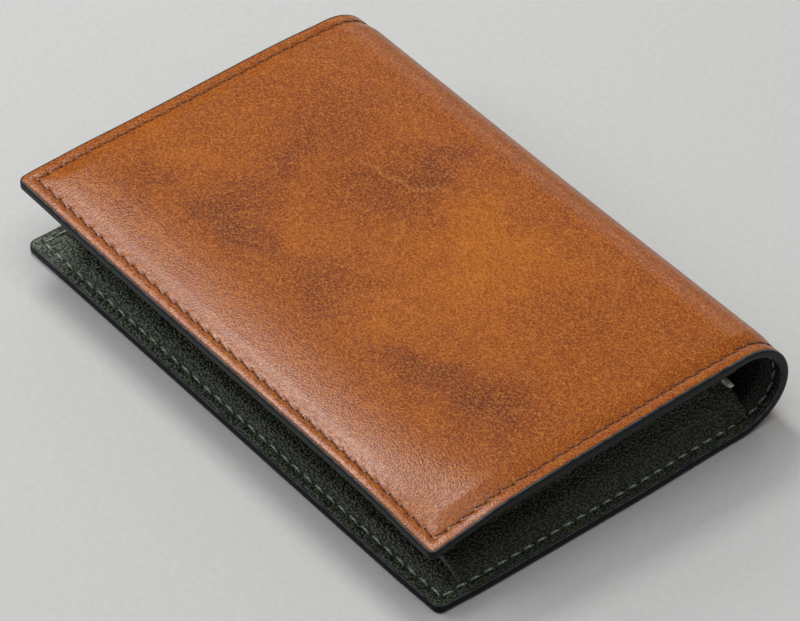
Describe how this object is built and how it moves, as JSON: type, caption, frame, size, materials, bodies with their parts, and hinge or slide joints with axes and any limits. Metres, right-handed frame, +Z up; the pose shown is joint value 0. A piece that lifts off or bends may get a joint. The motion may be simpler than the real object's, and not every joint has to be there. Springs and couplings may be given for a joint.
{
  "type": "card case",
  "caption": "Folding leather case for business cards: a lined cover bends round a rounded spine, and a lid closes over a gusseted card pocket.",
  "frame": {"origin": "under the middle of the closed case, on the surface that it rests on", "axes": "+X along the spine, +Y from the free edges towards the spine, +Z up through the lid"},
  "size_m": [0.11, 0.0774, 0.0205],
  "materials": {
    "tan_leather": "polished, mottled",
    "green_leather": "pebbled, satin",
    "stiffener_board": "matt bonded fibre",
    "brown_thread": "waxed",
    "green_thread": "waxed"
  },
  "bodies": {
    "back": {"back_leather": "tan_leather", "back_stiffener": "stiffener_board", "back_lining": "green_leather", "back_outer_thread": "brown_thread", "back_inner_thread": "green_thread", "right_gusset": "green_leather", "left_gusset": "green_leather", "bottom_gusset": "green_leather", "bottom_gusset_thread": "green_thread"},
    "spine_1": {"spine_leather_1": "tan_leather", "spine_lining_1": "green_leather"},
    "spine_2": {"spine_leather_2": "tan_leather", "spine_lining_2": "green_leather"},
    "spine_3": {"spine_leather_3": "tan_leather", "spine_lining_3": "green_leather"},
    "spine_4": {"spine_leather_4": "tan_leather", "spine_lining_4": "green_leather"},
    "spine_5": {"spine_leather_5": "tan_leather", "spine_lining_5": "green_leather"},
    "lid": {"lid_leather": "tan_leather", "lid_stiffener": "stiffener_board", "lid_lining": "green_leather", "lid_outer_thread": "brown_thread", "lid_inner_thread": "green_thread", "lid_slip_pocket": "green_leather"},
    "pocket_front": {"front_slip_pocket": "green_leather", "pocket_front": "green_leather", "pocket_front_lining": "green_leather", "pocket_front_thread": "green_thread"}
  },
  "joints": [
    {"name": "lid_open", "type": "hinge", "parent": "back", "child": "spine_1", "pos_m": [0, 0.03118, 0], "axis": [-1, 0, 0], "range_deg": [0, 30.3]},
    {"name": "spine_bend_2", "type": "hinge", "parent": "spine_1", "child": "spine_2", "pos_m": [0, 0.03595, 0.00279], "axis": [-1, 0, 0], "range_deg": [0, 30.3]},
    {"name": "spine_bend_3", "type": "hinge", "parent": "spine_2", "child": "spine_3", "pos_m": [0, 0.03866, 0.00761], "axis": [-1, 0, 0], "range_deg": [0, 30.3]},
    {"name": "spine_bend_4", "type": "hinge", "parent": "spine_3", "child": "spine_4", "pos_m": [0, 0.03857, 0.01313], "axis": [-1, 0, 0], "range_deg": [0, 30.3]},
    {"name": "spine_bend_5", "type": "hinge", "parent": "spine_4", "child": "spine_5", "pos_m": [0, 0.0357, 0.01786], "axis": [-1, 0, 0], "range_deg": [0, 30.3]},
    {"name": "spine_bend_6", "type": "hinge", "parent": "spine_5", "child": "lid", "pos_m": [0, 0.03084, 0.02049], "axis": [-1, 0, 0], "range_deg": [0, 30.3]},
    {"name": "pocket_press", "type": "slide", "parent": "back", "child": "pocket_front", "axis": [0, 0, -1], "range_m": [0, 0.005], "stiffness_N_per_m": 150, "springref_m": -0.004, "deforming": ["right_gusset", "left_gusset", "bottom_gusset"]}
  ],
  "couplings": [
    {"joint": "spine_bend_2", "follows": "lid_open", "ratio": 1},
    {"joint": "spine_bend_3", "follows": "lid_open", "ratio": 1},
    {"joint": "spine_bend_4", "follows": "lid_open", "ratio": 1},
    {"joint": "spine_bend_5", "follows": "lid_open", "ratio": 1},
    {"joint": "spine_bend_6", "follows": "lid_open", "ratio": 1}
  ]
}
